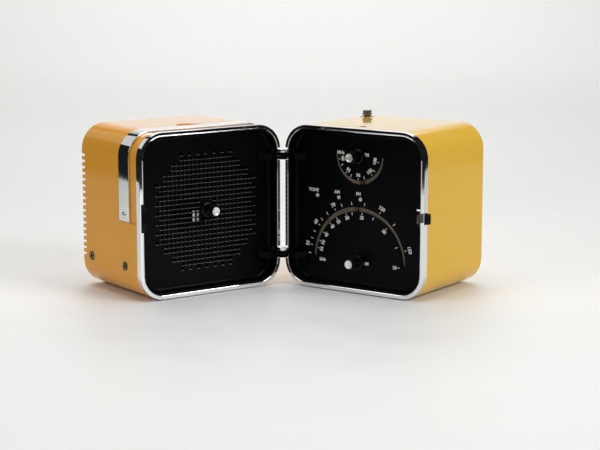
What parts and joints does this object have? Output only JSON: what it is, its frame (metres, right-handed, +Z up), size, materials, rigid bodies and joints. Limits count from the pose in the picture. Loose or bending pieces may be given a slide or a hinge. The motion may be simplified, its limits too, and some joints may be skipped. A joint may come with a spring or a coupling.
{
  "type": "transistor pocket radio",
  "caption": "Folding radio of two glossy cubes hinged edge to edge: pierced grille half and dial half, bright trims, carrying strip and telescopic aerial.",
  "frame": {"origin": "middle of the bounding box, on the floor plane under the feet", "axes": "+X across the opened radio towards the dial half, +Y away from the faces to the back, +Z up"},
  "size_m": [0.3214, 0.1523, 0.1363],
  "materials": {
    "yellow_plastic": "glossy moulded plastic",
    "black_plastic": "glossy black moulded plastic",
    "grille_black": "satin black moulded plastic",
    "chrome_trim": "bright plated frame",
    "bright_strip": "polished aluminium strip",
    "chrome_part": "bright plating",
    "plated_steel": "zinc plated steel",
    "black_metal": "black painted steel",
    "control_black": "glossy black plastic",
    "cap_silver": "turned aluminium disc",
    "scale_cream": "cream printed plastic",
    "pointer_red": "red plastic",
    "button_pale": "pale plastic",
    "dark_paper": "pressed paper cone",
    "magnet_grey": "dull ferrite and steel",
    "board_brown": "phenolic board",
    "can_silver": "drawn aluminium can",
    "drum_blue": "plastic sleeve",
    "ferrite_black": "dull ferrite",
    "coil_copper": "enamelled copper winding",
    "cell_red": "printed steel jacket",
    "rubber_dark": "dull rubber",
    "print_white": "white printing on the dial"
  },
  "bodies": {
    "speaker_half": {"speaker_shell": "yellow_plastic", "speaker_trim": "chrome_trim", "speaker_panel": "black_plastic", "speaker_grille": "grille_black", "speaker_basket": "plated_steel", "speaker_cone": "dark_paper", "speaker_magnet": "magnet_grey", "volume_bracket": "plated_steel", "volume_control": "plated_steel", "earphone_jack": "chrome_part", "power_jack": "chrome_part", "latch_keeper": "black_metal", "battery_tray": "grille_black", "battery_cells": "cell_red", "battery_contacts": "plated_steel", "speaker_feet": "rubber_dark", "speaker_case_screws": "plated_steel", "upper_fixed_arm": "black_metal", "lower_fixed_arm": "black_metal", "hinge_pins": "chrome_part"},
    "tuner_half": {"tuner_shell": "yellow_plastic", "tuner_trim": "chrome_trim", "dial_panel": "black_plastic", "dial_strips": "scale_cream", "fm_tuning_capacitor": "can_silver", "am_tuning_capacitor": "can_silver", "circuit_board": "board_brown", "if_transformers": "can_silver", "electrolytic_capacitors": "drum_blue", "transistors": "can_silver", "selector_switch": "plated_steel", "ferrite_rod": "ferrite_black", "aerial_coils": "coil_copper", "aerial_sleeve": "grille_black", "top_plug": "grille_black", "tuner_feet": "rubber_dark", "tuner_case_screws": "plated_steel", "upper_swing_arm": "black_metal", "lower_swing_arm": "black_metal"},
    "handle": {"carrying_handle": "bright_strip", "handle_screws": "chrome_part", "handle_guides": "plated_steel"},
    "volume": {"volume_knob": "control_black", "volume_knob_cap": "cap_silver"},
    "back_door": {"battery_door": "yellow_plastic"},
    "latch": {"latch_slide": "control_black"},
    "fm_tuning": {"fm_knob": "control_black", "fm_knob_cap": "cap_silver"},
    "am_tuning": {"am_knob": "control_black", "am_knob_cap": "cap_silver"},
    "fm_needle": {"fm_pointer": "pointer_red"},
    "am_needle": {"am_pointer": "pointer_red"},
    "tone_key": {"tone_button": "button_pale"},
    "am_key": {"am_button": "button_pale"},
    "fm_key": {"fm_button": "button_pale"},
    "aerial_lower": {"aerial_section_1": "chrome_part"},
    "aerial_middle": {"aerial_section_2": "chrome_part"},
    "aerial_upper": {"aerial_section_3": "chrome_part", "aerial_tip": "chrome_part"}
  },
  "joints": [
    {"name": "cube_fold", "type": "hinge", "parent": "speaker_half", "child": "tuner_half", "pos_m": [0, 0.0016, 0.0658], "axis": [0, 0, 1], "range_deg": [-109.3, 70.7]},
    {"name": "handle_slide", "type": "slide", "parent": "speaker_half", "child": "handle", "axis": [0, 0, 1], "range_m": [0, 0.03]},
    {"name": "volume_turn", "type": "hinge", "parent": "speaker_half", "child": "volume", "pos_m": [-0.05491, -0.03662, 0.0664], "axis": [-0.5786, 0.8156, 0], "range_deg": [-150, 150]},
    {"name": "back_door_out", "type": "slide", "parent": "speaker_half", "child": "back_door", "axis": [-0.5786, 0.8156, 0], "range_m": [0, 0.03]},
    {"name": "latch_press", "type": "slide", "parent": "tuner_half", "child": "latch", "axis": [-0.8156, 0.5786, 0], "range_m": [0, 0.002], "stiffness_N_per_m": 200, "springref_m": -0.002},
    {"name": "fm_tuning_turn", "type": "hinge", "parent": "tuner_half", "child": "fm_tuning", "pos_m": [0.05491, -0.03662, 0.1084], "axis": [0.5786, 0.8156, 0], "range_deg": [-513, 566]},
    {"name": "am_tuning_turn", "type": "hinge", "parent": "tuner_half", "child": "am_tuning", "pos_m": [0.05491, -0.03662, 0.0241], "axis": [0.5786, 0.8156, 0], "range_deg": [-512, 567]},
    {"name": "fm_needle_turn", "type": "hinge", "parent": "tuner_half", "child": "fm_needle", "pos_m": [0.06128, -0.02764, 0.1084], "axis": [0.5786, 0.8156, 0], "range_deg": [-85.6, 94.4]},
    {"name": "am_needle_turn", "type": "hinge", "parent": "tuner_half", "child": "am_needle", "pos_m": [0.06128, -0.02764, 0.0241], "axis": [0.5786, 0.8156, 0], "range_deg": [-85.4, 94.6]},
    {"name": "tone_press", "type": "slide", "parent": "tuner_half", "child": "tone_key", "axis": [0.5786, 0.8156, 0], "range_m": [0, 0.0015], "stiffness_N_per_m": 60, "springref_m": -0.003},
    {"name": "am_press", "type": "slide", "parent": "tuner_half", "child": "am_key", "axis": [0.5786, 0.8156, 0], "range_m": [0, 0.0015], "stiffness_N_per_m": 60, "springref_m": -0.003},
    {"name": "fm_press", "type": "slide", "parent": "tuner_half", "child": "fm_key", "axis": [0.5786, 0.8156, 0], "range_m": [0, 0.0015], "stiffness_N_per_m": 60, "springref_m": -0.003},
    {"name": "aerial_lower_draw", "type": "slide", "parent": "tuner_half", "child": "aerial_lower", "axis": [0, 0, 1], "range_m": [0, 0.095]},
    {"name": "aerial_middle_draw", "type": "slide", "parent": "aerial_lower", "child": "aerial_middle", "axis": [0, 0, 1], "range_m": [0, 0.095]},
    {"name": "aerial_upper_draw", "type": "slide", "parent": "aerial_middle", "child": "aerial_upper", "axis": [0, 0, 1], "range_m": [0, 0.095]}
  ],
  "couplings": [
    {"joint": "fm_needle_turn", "follows": "fm_tuning_turn", "ratio": 0.16667},
    {"joint": "am_needle_turn", "follows": "am_tuning_turn", "ratio": 0.16667}
  ]
}
